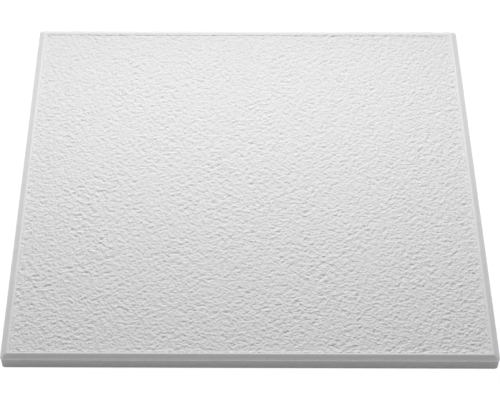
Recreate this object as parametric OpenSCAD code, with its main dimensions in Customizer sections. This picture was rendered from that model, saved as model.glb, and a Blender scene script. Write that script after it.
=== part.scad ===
/* [Tile] */
// Side of the square tile, measured over its parting edge
tile_side = 500; // [250:5:600]
// Thickness, from the back to the flat rim of the face
tile_t = 16.5; // [12:0.5:25]
// Radius of the tile's four corners, seen from above
corner_r = 4; // [1:0.5:8]

/* [Edge] */
// Width of the chamfer between the flat rim and the parting edge
chamfer_w = 6.1; // [3:0.1:9]
// Drop of the chamfer, from the flat rim down to the parting edge
chamfer_h = 2.6; // [1:0.1:5]
// Rounding where the chamfer meets the flat rim
chamfer_r = 1.5; // [0.5:0.1:3]
// Height of the narrow upright lip that the mould's parting line leaves
lip_h = 0.8; // [0.3:0.1:2]
// Width of the narrow step on top of the lip, at the foot of the chamfer
step_w = 0.3; // [0.1:0.1:1]
// How far the lip stands proud of the flank below it
lip_w = 0.5; // [0.2:0.1:2]
// Draft of the flank, which leans in by this much towards the back
draft_w = 0.3; // [0.1:0.1:2]
// Rounding between the flank and the back
back_r = 0.8; // [0.5:0.1:4]

/* [Face] */
// Width of the flat rim around the roughcast field
rim_w = 3.2; // [1:0.1:10]
// Width of the slope from the rim down to the field
slope_w = 1.6; // [0.5:0.1:4]
// Depth of the field's mean level below the rim
field_depth = 0.9; // [0.9:0.1:2.5]

/* [Roughcast] */
// Mean spacing of the grains
grain_pitch = 7.2; // [7:0.1:15]
// Height from the deepest pit to the top of the highest grain
grain_h = 1.4; // [0.4:0.1:1.7]
// Share of that height by which every other grain stands up, the rest being random
grain_order = 0.35; // [0:0.05:1]
// Sideways scatter of the grains, as a share of their spacing
grain_scatter = 0.5; // [0:0.05:0.7]
// Number that picks one random arrangement of the grains
grain_seed = 21; // [1:1:99]

/* [Back] */
// Width of the twelve-sided steam vent marks, from corner to corner
vent_d = 8; // [5:0.5:12]
// Depth of the vent marks
vent_depth = 0.4; // [0.1:0.1:1]
// Spacing of the vent marks
vent_pitch = 75; // [40:1:120]

/* [Hidden] */
// Straight steps that each rounded corner and each rounded edge is drawn with
corner_steps = 6;
edge_steps = 4;
vent_sides = 12;
half = tile_side / 2;
lip_top = tile_t - chamfer_h;
lip_bottom = lip_top - lip_h;
rim_outer = chamfer_w;
rim_inner = chamfer_w + rim_w;
field_in = rim_inner + slope_w;
field_z = tile_t - field_depth;
field_side = tile_side - 2 * field_in;
grain_count = max(2, round(field_side / grain_pitch));
grain_step = field_side / grain_count;

function unit(v) = v / norm(v);

// Arc of radius r, in place of the corner b between its neighbours a and c
function rounded(a, b, c, r) =
    let (u = unit(a - b))
    let (v = unit(c - b))
    let (open = acos(u * v) / 2)
    let (turn = 180 - 2 * open)
    let (centre = b + unit(u + v) * r / sin(open))
    let (from = b + u * r / tan(open) - centre)
    let (to = b + v * r / tan(open) - centre)
    [for (s = [0:edge_steps])
        let (w = s / edge_steps)
        centre + (from * sin((1 - w) * turn) + to * sin(w * turn)) / sin(turn)];

// Section of the tile's edge, each point as [inset, height], from the back up to the flat rim
back_corner = [lip_w + draft_w, 0];
flank_top = [lip_w, lip_bottom];
step_in = [step_w, lip_top];
rim_corner = [rim_outer, tile_t];
edge_section = concat(
    rounded([half, 0], back_corner, flank_top, back_r),
    [flank_top, [0, lip_bottom], [0, lip_top], step_in],
    rounded(step_in, rim_corner, [rim_inner, tile_t], chamfer_r),
    [[rim_inner, tile_t]]
);
rings = len(edge_section);

// A ring is round at its corners where it lies outside the corners' centres, and square inside them
function is_round(k) = edge_section[k][0] < corner_r && k < rings - 1;
function ring_size(k) = is_round(k) ? 4 * (corner_steps + 1) : 4;

// Index of the first point of ring k
function ring_start(k) = k == 0 ? 0 : ring_start(k - 1) + ring_size(k - 1);

// Points of ring k, counter-clockwise from above
function ring_points(k) =
    let (inset = edge_section[k][0])
    let (z = edge_section[k][1])
    let (r = is_round(k) ? corner_r - inset : 0)
    let (centre = half - inset - r)
    let (steps = is_round(k) ? corner_steps : 0)
    [for (q = [0:3], s = [0:steps])
        let (way = 90 * q + 90 * s / corner_steps)
        let (mid = 90 * q + 45)
        [centre * sign(cos(mid)) + r * cos(way), centre * sign(sin(mid)) + r * sin(way), z]];

// Index of step s of corner q on ring k
function ring_index(k, q, s) =
    ring_start(k) + (is_round(k) ? (q % 4) * (corner_steps + 1) + s : q % 4);

// The face without the points that a square corner repeats
function distinct(face) =
    [for (i = [0:len(face) - 1]) if (face[i] != face[(i + 1) % len(face)]) face[i]];

// Faces between ring k and the ring above it
function band_faces(k) =
    [for (q = [0:3], s = [0:corner_steps])
        let (next_q = s < corner_steps ? q : q + 1)
        let (next_s = s < corner_steps ? s + 1 : 0)
        let (face = distinct([
            ring_index(k, q, s),
            ring_index(k + 1, q, s),
            ring_index(k + 1, next_q, next_s),
            ring_index(k, next_q, next_s)
        ]))
        if (len(face) > 2) face];

// Random numbers from 0 to 1 for each point of the field: sideways, along and up
grain_random = [for (axis = [0:2])
    rands(0, 1, (grain_count + 1) * (grain_count + 1), grain_seed + axis)];

// Point of the field at column i and row j, which rests on the slope's foot all round
function field_point(i, j) =
    let (n = i + j * (grain_count + 1))
    let (inner = i > 0 && j > 0 && i < grain_count && j < grain_count)
    let (shift = inner ? [grain_random[0][n] - 0.5, grain_random[1][n] - 0.5] : [0, 0])
    let (grain = grain_order * ((i + j) % 2) + (1 - grain_order) * grain_random[2][n] - 0.5)
    [
        (i + shift[0] * grain_scatter) * grain_step - field_side / 2,
        (j + shift[1] * grain_scatter) * grain_step - field_side / 2,
        field_z + (inner ? grain * grain_h : 0)
    ];

field_start = ring_start(rings);
function field_index(i, j) = field_start + i + j * (grain_count + 1);

field_points = [for (j = [0:grain_count], i = [0:grain_count]) field_point(i, j)];

// Two triangles for each cell of the field, split along its shorter diagonal
field_faces = [for (j = [0:grain_count - 1], i = [0:grain_count - 1])
    let (a = field_index(i, j))
    let (b = field_index(i + 1, j))
    let (c = field_index(i + 1, j + 1))
    let (d = field_index(i, j + 1))
    let (rising = norm(field_point(i, j) - field_point(i + 1, j + 1)))
    let (falling = norm(field_point(i + 1, j) - field_point(i, j + 1)))
    each rising < falling ? [[a, c, b], [a, d, c]] : [[a, d, b], [b, d, c]]];

// Points along the field's border on side q, counter-clockwise from above
function border(q) =
    [for (n = [0:grain_count])
        let (m = grain_count - n)
        q == 0 ? field_index(grain_count, n)
            : q == 1 ? field_index(m, grain_count)
            : q == 2 ? field_index(0, m)
            : field_index(n, 0)];

// Slope on each side of the field, from the flat rim's inner edge down to the border
slope_faces = [for (q = [0:3])
    concat([ring_index(rings - 1, q + 3, 0)], border(q), [ring_index(rings - 1, q, 0)])];

module vent_marks() {
    per_side = floor(field_side / vent_pitch / 2) * 2;
    for (i = [0:per_side - 1], j = [0:per_side - 1])
        translate([
            (i - (per_side - 1) / 2) * vent_pitch,
            (j - (per_side - 1) / 2) * vent_pitch,
            -vent_depth
        ])
            cylinder(d = vent_d, h = 2 * vent_depth, $fn = vent_sides);
}

module tile_body() {
    points = concat([for (k = [0:rings - 1]) each ring_points(k)], field_points);
    back_face = [for (n = [0:ring_size(0) - 1]) n];
    faces = concat([back_face], [for (k = [0:rings - 2]) each band_faces(k)], slope_faces, field_faces);
    polyhedron(points, faces, convexity = 4);
}

module ceiling_tile() {
    color("whitesmoke")
        difference() {
            tile_body();
            vent_marks();
        }
}

ceiling_tile();
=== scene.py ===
from math import copysign, pi, radians, sin, tan

import bmesh
import bpy
import numpy as np
from mathutils import Matrix, Vector, noise


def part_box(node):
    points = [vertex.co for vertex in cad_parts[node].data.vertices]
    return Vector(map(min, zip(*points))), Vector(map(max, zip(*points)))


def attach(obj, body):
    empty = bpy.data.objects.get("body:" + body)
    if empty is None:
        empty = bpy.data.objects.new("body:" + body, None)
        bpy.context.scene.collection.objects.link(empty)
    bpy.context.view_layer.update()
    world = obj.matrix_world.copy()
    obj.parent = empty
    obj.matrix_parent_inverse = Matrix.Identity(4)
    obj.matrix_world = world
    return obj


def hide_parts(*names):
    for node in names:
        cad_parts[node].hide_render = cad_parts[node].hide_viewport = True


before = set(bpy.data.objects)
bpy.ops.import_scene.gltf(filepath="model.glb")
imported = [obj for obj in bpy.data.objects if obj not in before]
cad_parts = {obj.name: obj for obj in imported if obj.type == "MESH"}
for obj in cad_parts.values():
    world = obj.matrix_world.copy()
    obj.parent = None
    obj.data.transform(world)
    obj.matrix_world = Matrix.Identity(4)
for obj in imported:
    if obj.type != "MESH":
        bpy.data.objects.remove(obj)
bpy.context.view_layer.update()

# The tile's edge. The tile is one slab of expanded polystyrene, whose beads swell and fuse in a closed mould
# full of steam. The mould gives the bowed chamfer, the slightly falling rim and the drafted flank, and the
# thin lip is where its two halves met.
tile_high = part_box("ceiling_tile")[1]
half = tile_high.x
tile_t = tile_high.z
corner_r = 0.004
chamfer_w = 0.0061
chamfer_h = 0.0031
chamfer_bow = 0.00007
chamfer_r = 0.0015
step_w = 0.0002
foot_w = 0.0008
foot_rise = 0.0002
lip_h = 0.0008
lip_w = 0.0005
draft_w = 0.0003
back_r = 0.0008
rim_w = 0.0034
rim_corner_r = 0.001
rim_bend_w = 0.0018
rim_fall = 0.00032
corner_steps = 8
side_steps = 48
arc_steps = 4
wave_length = 0.023
wave_h = 0.00012

lip_top = tile_t - chamfer_h
lip_bottom = lip_top - lip_h
rim_inner = chamfer_w + rim_w
rim_z = tile_t - rim_fall


def rounded(before, corner, after, radius):
    """Points of an arc that rounds the corner between its neighbours, as (inset, height)."""
    u = (Vector(before) - Vector(corner)).normalized()
    v = (Vector(after) - Vector(corner)).normalized()
    opening = u.angle(v) / 2
    turn = pi - 2 * opening
    centre = Vector(corner) + (u + v).normalized() * radius / sin(opening)
    start = Vector(corner) + u * radius / tan(opening) - centre
    end = Vector(corner) + v * radius / tan(opening) - centre
    shares = [step / arc_steps for step in range(arc_steps + 1)]
    return [centre + (start * sin((1 - s) * turn) + end * sin(s * turn)) / sin(turn) for s in shares]


def on_ring(point, inset, height):
    """Where a point of the tile's outline goes on a ring further in, with a moulded edge's slight waves."""
    inset += wave_h * (1 + noise.noise(point / wave_length)) / 2
    radius = corner_r + (rim_corner_r - corner_r) * min(inset / chamfer_w, 1)
    centre = half - inset - radius
    past = [max(abs(c) - (half - corner_r), 0) * radius / corner_r for c in point.xy]
    x, y = [copysign(min(abs(c), centre) + p, c) for c, p in zip(point.xy, past)]
    return Vector((x, y, height))


def grow(mesh, edges):
    """Extrudes a ring of edges and returns the new ring."""
    grown = bmesh.ops.extrude_edge_only(mesh, edges=edges)["geom"]
    return [g for g in grown if isinstance(g, bmesh.types.BMEdge)]


def points_of(edges):
    """The points of these edges, each once and in order."""
    return list(dict.fromkeys(v for e in edges for v in e.verts))


slab = bmesh.new()
blank = bmesh.ops.create_grid(slab, x_segments=1, y_segments=1, size=half)
bmesh.ops.bevel(slab, geom=blank["verts"], affect="VERTICES", offset=corner_r,
                segments=corner_steps, profile=0.5, material=-1)
sides = [e for e in slab.edges if e.calc_length() > half]
bmesh.ops.subdivide_edges(slab, edges=sides, cuts=side_steps - 1)
bmesh.ops.delete(slab, geom=slab.faces[:], context="FACES_ONLY")

section = rounded((half, 0), (lip_w + draft_w, 0), (lip_w, lip_bottom), back_r)
foot = (foot_w, lip_top + foot_rise)
section += [(lip_w, lip_bottom), (0, lip_bottom), (0, lip_top), (step_w, lip_top), foot]
chamfer_middle = ((foot[0] + chamfer_w) / 2 - chamfer_bow, (foot[1] + tile_t) / 2 + chamfer_bow)
rim_bend = (chamfer_w + rim_bend_w, rim_z)
section += [chamfer_middle, *rounded(chamfer_middle, (chamfer_w, tile_t), rim_bend, chamfer_r)]
section += [rim_bend]
rings = [slab.edges[:]]
while len(rings) < len(section):
    rings.append(grow(slab, rings[-1]))
for ring, (inset, height) in zip(rings, section):
    for point in points_of(ring):
        point.co = on_ring(point.co, inset, height)

# The sunk roughcast field. It is the same foam, pressed by a mould face that was tooled like roughcast:
# round crumbs a few millimetres apart with sharper valleys between them, on faint diagonal rows. They die
# away on the short slope that leads up to the rim.
slope_w = 0.0009
field_depth = 0.00095
field_cells = 288
finest_crumb = 0.0045
widest_crumb = 0.0105
swell_share = 0.35
crumb_h = 0.00026
patch = 0.07
patch_share = 0.12
valley_share = 0.2
row_share = 0.35
relief_limit = 0.0008
relief_seed = 7
roughcast_slot = 1
# Rings up the slope and on to the rim: shares of its width, of its height and of the crumbs that are left
slope_profile = [(0.5, 0.55, 0.95), (0.9, 0.95, 0.8), (1.2, 1, 0.6), (1.9, 1, 0.35), (2.6, 1, 0)]

field_half = half - rim_inner - slope_w
field_z = tile_t - field_depth
cell = 2 * field_half / field_cells
draws = np.random.default_rng(relief_seed)


def mottle(finest, widest):
    """Random heights of unit spread on the field's grid, most of their waves between these lengths."""
    speckle = np.fft.fft2(draws.standard_normal((field_cells + 1, field_cells + 1)))
    across, along = np.meshgrid(*[np.fft.fftfreq(field_cells + 1, cell)] * 2)
    waves = np.maximum(np.hypot(across, along), 1 / (2 * half))
    diagonal = 2 * across * along / waves ** 2
    swell = 1 - (1 - swell_share) * np.exp(-(waves * widest) ** 4)
    shares = np.exp(-(waves * finest) ** 4) * swell * (1 + row_share * diagonal ** 2)
    heights = np.fft.ifft2(speckle * shares).real
    return heights / heights.std()


crumbs = mottle(finest_crumb, widest_crumb)
crumbs -= valley_share * (crumbs ** 2 - 1)
relief = crumbs * (1 + patch_share * mottle(patch, patch)) * crumb_h
relief = np.clip(relief, -relief_limit, relief_limit)
field = bmesh.ops.create_grid(slab, x_segments=field_cells, y_segments=field_cells,
                              size=field_half,
                              matrix=Matrix.Translation((0, 0, field_z)))["verts"]
for face in {f for point in field for f in point.link_faces}:
    face.material_index = roughcast_slot
for point in field:
    column = round((point.co.x + field_half) / cell)
    row = round((point.co.y + field_half) / cell)
    point.co.z += relief[row, column]

field_points = set(field)
ring = [e for e in slab.edges if e.is_boundary and e.verts[0] in field_points]
across_before, level_before, left_before = 0, field_z, 1
for across, up, left in slope_profile:
    ring = grow(slab, ring)
    reach = (field_half + across * slope_w) / (field_half + across_before * slope_w)
    level = rim_z - (rim_z - field_z) * (1 - up)
    for point in points_of(ring):
        point.co.xy *= reach
        point.co.z = min(level + (point.co.z - level_before) * left / left_before, tile_t)
    across_before, level_before, left_before = across, level, left

# The back, which is glued to the ceiling. It is the same foam, left as it came from the mould: flat, with
# the shallow round marks of the steam vents.
vent_d = 0.008
vent_depth = 0.0004
vent_pitch = 0.075
vent_sides = 24
vents_a_side = int(2 * field_half / vent_pitch / 2) * 2

for row in range(vents_a_side):
    for column in range(vents_a_side):
        x = (column - (vents_a_side - 1) / 2) * vent_pitch
        y = (row - (vents_a_side - 1) / 2) * vent_pitch
        mark = bmesh.ops.create_circle(slab, cap_ends=True, radius=vent_d / 2, segments=vent_sides,
                                       matrix=Matrix.Translation((x, y, vent_depth)))["verts"]
        mouth = grow(slab, mark[0].link_faces[0].edges[:])
        bmesh.ops.translate(slab, verts=points_of(mouth), vec=(0, 0, -vent_depth))

# Two flat faces close the slab: the rim, out from the field's slope, and the back, round the vent marks
weld = 1e-6
sharp_angle = radians(32)
level_normal = 0.99999
bmesh.ops.remove_doubles(slab, verts=slab.verts, dist=weld)
for height, normal in ((rim_z, (0, 0, 1)), (0, (0, 0, -1))):
    open_edges = [e for e in slab.edges if e.is_boundary and abs(e.verts[0].co.z - height) < weld]
    bmesh.ops.triangle_fill(slab, use_beauty=True, use_dissolve=False, edges=open_edges, normal=normal)
bmesh.ops.recalc_face_normals(slab, faces=slab.faces)
for face in slab.faces:
    face.smooth = abs(face.normal.z) < level_normal
for edge in slab.edges:
    edge.smooth = edge.is_manifold and edge.calc_face_angle() < sharp_angle

foam_mesh = bpy.data.meshes.new("ceiling_tile_foam")
slab.to_mesh(foam_mesh)
slab.free()
foam = bpy.data.objects.new("ceiling_tile_foam", foam_mesh)
bpy.context.scene.collection.objects.link(foam)


def linear(hex_colour):
    """An sRGB colour such as "#F0F0EE" as linear red, green, blue and alpha."""
    shares = [int(hex_colour[i:i + 2], 16) / 255 for i in (1, 3, 5)]
    return [s / 12.92 if s <= 0.04045 else ((s + 0.055) / 1.055) ** 2.4 for s in shares] + [1]


def add_node(tree, kind, settings=(), values=(), links=()):
    """Adds a node with its settings, the values of its sockets and the links that come into them."""
    added = tree.nodes.new(kind)
    for name, setting in dict(settings).items():
        setattr(added, name, setting)
    for socket, value in dict(values).items():
        added.inputs[socket].default_value = value
    for socket, source in dict(links).items():
        tree.links.new(source, added.inputs[socket])
    return added


# Steam-moulded white expanded polystyrene, matt and nearly pure white. Its beads swell to about 2.5 mm and
# press into many-sided cells, which leaves a faint net of joints in the skin and a slight unevenness of
# tone. The smooth edge is painted a shade whiter than the roughcast field. This is painted light that lifts
# the edge's chamfers and rim, and painted shade that darkens the field among its crumbs. The field's finest
# crumbs are bump.
bead = 0.0025
bead_joint = 0.08
bead_joint_h = 0.00003
skin_grain = 0.0009
skin_grain_h = 0.00002
fine_crumb = 0.003
fine_crumb_h = 0.0016
foam_roughness = 0.75
foam_ior = 1.45
foam_gloss = 0.3
# The edge's two tones are painted whiter than the field's two tones: painted light on the edge, painted
# shade on the field
skin_light_painted_whiter = "#F5F5F5"
skin_dark_painted_whiter = "#F0F0F0"
crumb_light_painted_shade = "#F3F3F3"
crumb_dark_painted_shade = "#EDEDED"
# The Mix node's sockets for two colours, and the one for its result
first_colour, second_colour, mixed_colour = 6, 7, 2


def foam_material(name, light, dark, crumb_bump_h):
    """Moulded foam whose beads vary between two tones, with crumbs of this height pressed in."""
    material = bpy.data.materials.new(name)
    material.use_nodes = True
    tree = material.node_tree
    tree.nodes.clear()
    place = add_node(tree, "ShaderNodeTexCoord").outputs["Object"]
    joints = add_node(tree, "ShaderNodeTexVoronoi", {"feature": "DISTANCE_TO_EDGE"},
                      {"Scale": 1 / bead}, {"Vector": place})
    beads = add_node(tree, "ShaderNodeTexVoronoi", {"feature": "F1"},
                     {"Scale": 1 / bead}, {"Vector": place})
    groove = add_node(tree, "ShaderNodeMapRange", {"interpolation_type": "SMOOTHSTEP"},
                      {"From Max": bead_joint}, {"Value": joints.outputs["Distance"]})
    grain = add_node(tree, "ShaderNodeTexNoise", {},
                     {"Scale": 1 / skin_grain, "Detail": 2}, {"Vector": place})
    crumbs = add_node(tree, "ShaderNodeTexNoise", {},
                      {"Scale": 1 / fine_crumb, "Detail": 1}, {"Vector": place})
    tone = add_node(tree, "ShaderNodeMix", {"data_type": "RGBA"},
                    {first_colour: linear(dark), second_colour: linear(light)},
                    {"Factor": beads.outputs["Color"]})
    net = add_node(tree, "ShaderNodeBump", {}, {"Distance": bead_joint_h},
                   {"Height": groove.outputs["Result"]})
    skin = add_node(tree, "ShaderNodeBump", {}, {"Distance": skin_grain_h},
                    {"Height": grain.outputs["Fac"], "Normal": net.outputs["Normal"]})
    if crumb_bump_h:
        skin = add_node(tree, "ShaderNodeBump", {}, {"Distance": crumb_bump_h},
                        {"Height": crumbs.outputs["Fac"], "Normal": skin.outputs["Normal"]})
    shader = add_node(tree, "ShaderNodeBsdfPrincipled", {},
                      {"Roughness": foam_roughness, "IOR": foam_ior, "Specular IOR Level": foam_gloss},
                      {"Base Color": tone.outputs[mixed_colour], "Normal": skin.outputs["Normal"]})
    add_node(tree, "ShaderNodeOutputMaterial", {}, {}, {"Surface": shader.outputs["BSDF"]})
    return material


# The edge's foam carries the painted light and the field's foam carries the painted shade; each one's two
# bead tones vary at random
foam_mesh.materials.append(foam_material("steam_moulded_polystyrene", skin_light_painted_whiter, skin_dark_painted_whiter, 0))
foam_mesh.materials.append(foam_material("roughcast_polystyrene", crumb_light_painted_shade, crumb_dark_painted_shade, fine_crumb_h))
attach(foam, "root")
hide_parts("ceiling_tile")

# The studio floor: a plain pale sheet, which the camera sees as white apart from the tile's shadow. It lies
# a hair below the tile, so that the two faces don't coincide.
floor_half = 3
floor_drop = 0.00005
floor_colour = "#F0F0F0"
floor_glow = 0.97
floor_shade = 0.15

floor_sheet = bmesh.new()
bmesh.ops.create_grid(floor_sheet, x_segments=1, y_segments=1, size=floor_half,
                      matrix=Matrix.Translation((0, 0, -floor_drop)))
floor_mesh = bpy.data.meshes.new("studio_floor")
floor_sheet.to_mesh(floor_mesh)
floor_sheet.free()
floor = bpy.data.objects.new("studio_floor", floor_mesh)
bpy.context.scene.collection.objects.link(floor)


def seen_directly(tree):
    """One for what the camera sees, straight, in a gloss or through glass, and zero for other rays."""
    path = add_node(tree, "ShaderNodeLightPath").outputs
    gloss = add_node(tree, "ShaderNodeMath", {"operation": "MAXIMUM"}, {},
                     {0: path["Is Camera Ray"], 1: path["Is Glossy Ray"]})
    glass = add_node(tree, "ShaderNodeMath", {"operation": "MAXIMUM"}, {},
                     {0: gloss.outputs[0], 1: path["Is Transmission Ray"]})
    return glass.outputs[0]


paper = bpy.data.materials.new("white_studio_paper")
paper.use_nodes = True
tree = paper.node_tree
tree.nodes.clear()
matt = add_node(tree, "ShaderNodeBsdfDiffuse", {}, {"Color": linear(floor_colour)})
glow = add_node(tree, "ShaderNodeEmission", {}, {"Strength": floor_glow / (1 - floor_shade)})
bright = add_node(tree, "ShaderNodeMixShader", {}, {0: floor_shade},
                  {1: glow.outputs[0], 2: matt.outputs[0]})
shown = add_node(tree, "ShaderNodeMixShader", {}, {},
                 {0: seen_directly(tree), 1: matt.outputs[0], 2: bright.outputs[0]})
add_node(tree, "ShaderNodeOutputMaterial", {}, {}, {"Surface": shown.outputs[0]})
floor_mesh.materials.append(paper)

# The light: a long soft box that stands upright behind the tile, a faint one that stands low in front like a
# white card, and a soft fill from all round.
lamp_place = Vector((-0.03, 0.525, 0.615))
lamp_w = 1.15
lamp_h = 0.2
lamp_fall = radians(3)
lamp_power = 10.35
card_place = Vector((0, -1, 0.1))
card_w = 2
card_h = 0.2
card_power = 0.2
fill = 0.195
plain_white = (1, 1, 1, 1)


def soft_light(name, place, width, height, power, turn):
    """A soft light of this size, turned by this much about X from facing down."""
    light = bpy.data.lights.new(name, "AREA")
    light.shape = "RECTANGLE"
    light.size = width
    light.size_y = height
    light.energy = power
    lamp = bpy.data.objects.new(name, light)
    lamp.matrix_world = Matrix.Translation(place) @ Matrix.Rotation(turn, 4, "X")
    lamp.visible_camera = False
    bpy.context.scene.collection.objects.link(lamp)


soft_light("long_soft_box", lamp_place, lamp_w, lamp_h, lamp_power, lamp_fall - pi / 2)
soft_light("low_white_card", card_place, card_w, card_h, card_power, pi / 2)

room = bpy.data.worlds.new("white_room")
room.use_nodes = True
tree = room.node_tree
tree.nodes.clear()
dim = add_node(tree, "ShaderNodeBackground", {}, {"Color": plain_white, "Strength": fill})
white = add_node(tree, "ShaderNodeBackground", {}, {"Color": plain_white, "Strength": 1})
shown = add_node(tree, "ShaderNodeMixShader", {}, {},
                 {0: seen_directly(tree), 1: dim.outputs[0], 2: white.outputs[0]})
add_node(tree, "ShaderNodeOutputWorld", {}, {}, {"Surface": shown.outputs[0]})
bpy.context.scene.world = room

# The camera looks down on the tile from in front, and the picture is shifted a little to the side, as the
# photo is.
photo_w = 500
sensor_w = 36
focal_px = 1674
axis_px = 228.3
camera_place = Vector((-0.0183, -1.2823, 1.3365))
camera_fall = radians(46.555)
camera_swing = radians(0.19)
camera_roll = radians(0.03)

lens = bpy.data.cameras.new("camera")
lens.sensor_width = sensor_w
lens.lens = focal_px / photo_w * sensor_w
lens.shift_x = (photo_w / 2 - axis_px) / photo_w
camera = bpy.data.objects.new("camera", lens)
turned = Matrix.Rotation(camera_swing, 4, "Z") @ Matrix.Rotation(pi / 2 - camera_fall, 4, "X")
camera.matrix_world = Matrix.Translation(camera_place) @ turned @ Matrix.Rotation(camera_roll, 4, "Z")
bpy.context.scene.collection.objects.link(camera)
bpy.context.scene.camera = camera
bpy.context.scene.view_settings.view_transform = "Standard"
